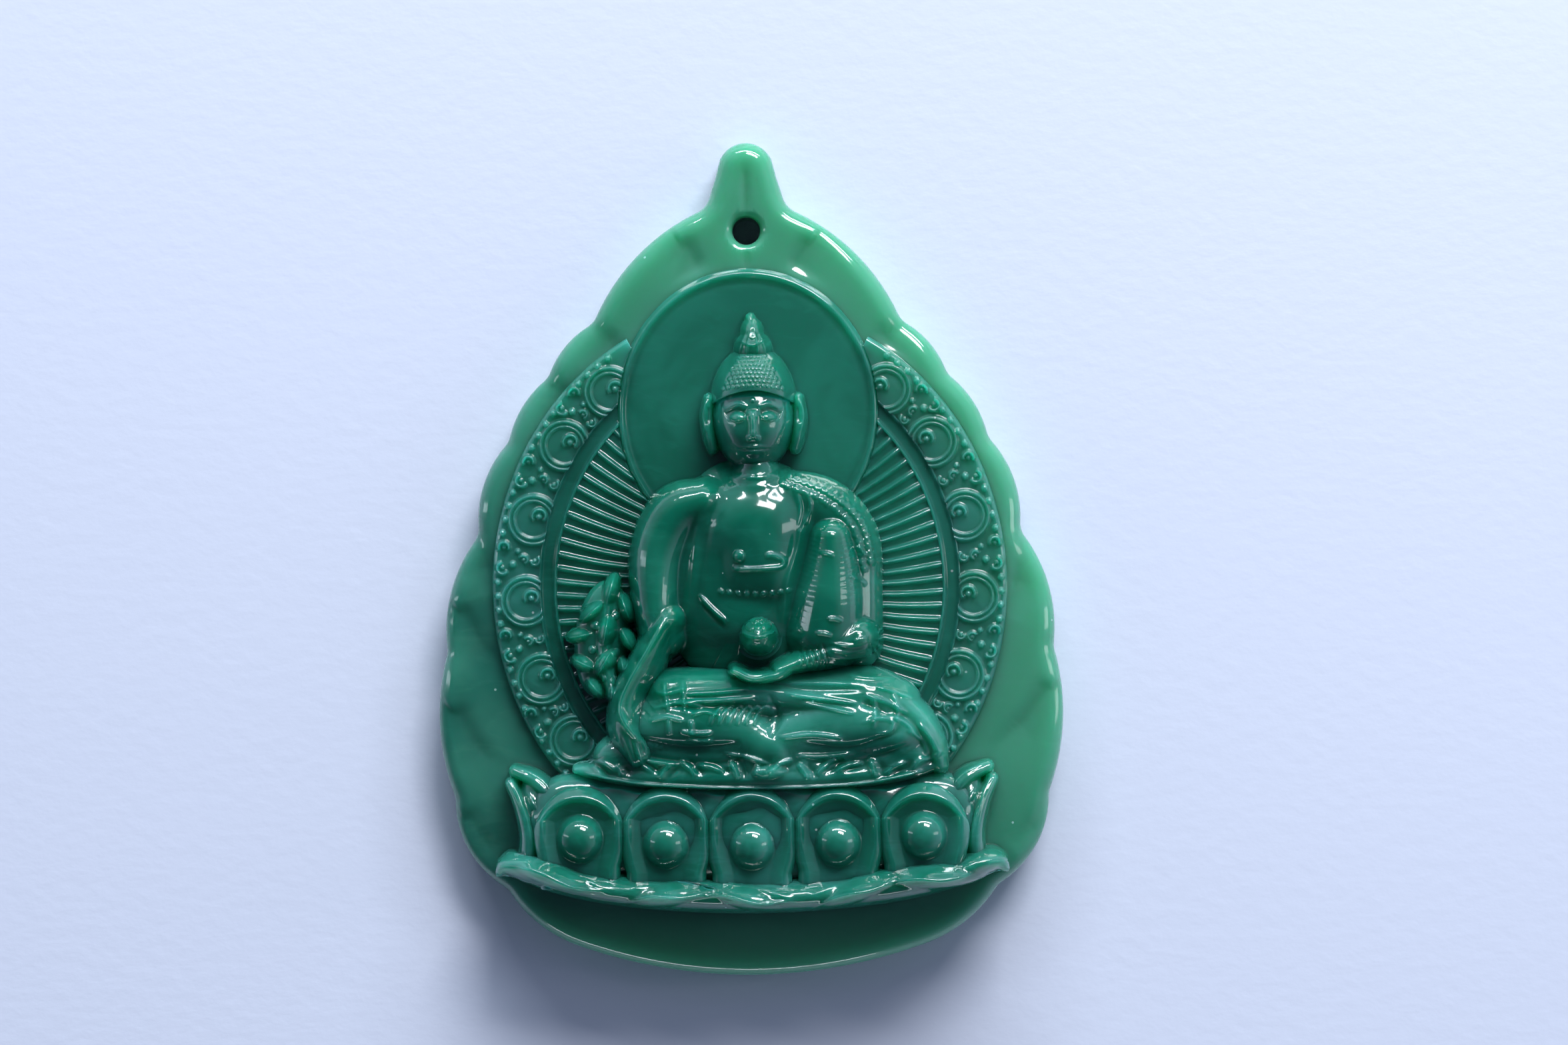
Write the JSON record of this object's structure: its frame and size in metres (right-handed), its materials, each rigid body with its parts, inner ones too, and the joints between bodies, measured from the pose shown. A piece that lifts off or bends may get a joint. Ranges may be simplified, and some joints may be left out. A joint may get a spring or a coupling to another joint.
{
  "type": "jade figure pendant",
  "caption": "Leaf-shaped jade pendant with a seated figure holding a bowl and a herb, in high relief on a lotus throne, with a hanging hole.",
  "frame": {"origin": "middle of the flat back's bounding rectangle, on the back face", "axes": "+Z out of the relief towards the viewer, +Y up the leaf to the stalk and its hole, +X to the viewer's right"},
  "size_m": [0.045, 0.06, 0.0103],
  "materials": {
    "jade": "polished, translucent green"
  },
  "bodies": {
    "root": {"bead_row_left": "jade", "bead_row_right": "jade", "chest": "jade", "crown_jewel": "jade", "ear_left": "jade", "ear_right": "jade", "foot_vine": "jade", "hair_cap": "jade", "hair_curls": "jade", "hair_knot": "jade", "halo_disc": "jade", "halo_rim": "jade", "head": "jade", "herb_branch": "jade", "herb_leaves": "jade", "inner_strip_left": "jade", "inner_strip_right": "jade", "leaf_plate": "jade", "left_forearm": "jade", "left_hand": "jade", "left_leg": "jade", "left_sleeve": "jade", "lotus_petal_1": "jade", "lotus_petal_2": "jade", "lotus_petal_3": "jade", "lotus_petal_4": "jade", "lotus_petal_5": "jade", "lotus_seat": "jade", "medicine_bowl": "jade", "neck": "jade", "petal_gem_1": "jade", "petal_gem_2": "jade", "petal_gem_3": "jade", "petal_gem_4": "jade", "petal_gem_5": "jade", "ray_field": "jade", "rays_left": "jade", "rays_right": "jade", "right_arm": "jade", "right_forearm": "jade", "right_hand": "jade", "right_leg": "jade", "robe_edge_left": "jade", "robe_edge_right": "jade", "robe_hem": "jade", "scroll_band_left": "jade", "scroll_band_right": "jade", "scroll_wheels_left": "jade", "scroll_wheels_right": "jade", "side_petal_left": "jade", "side_petal_right": "jade", "waist_sash": "jade"}
  },
  "joints": []
}
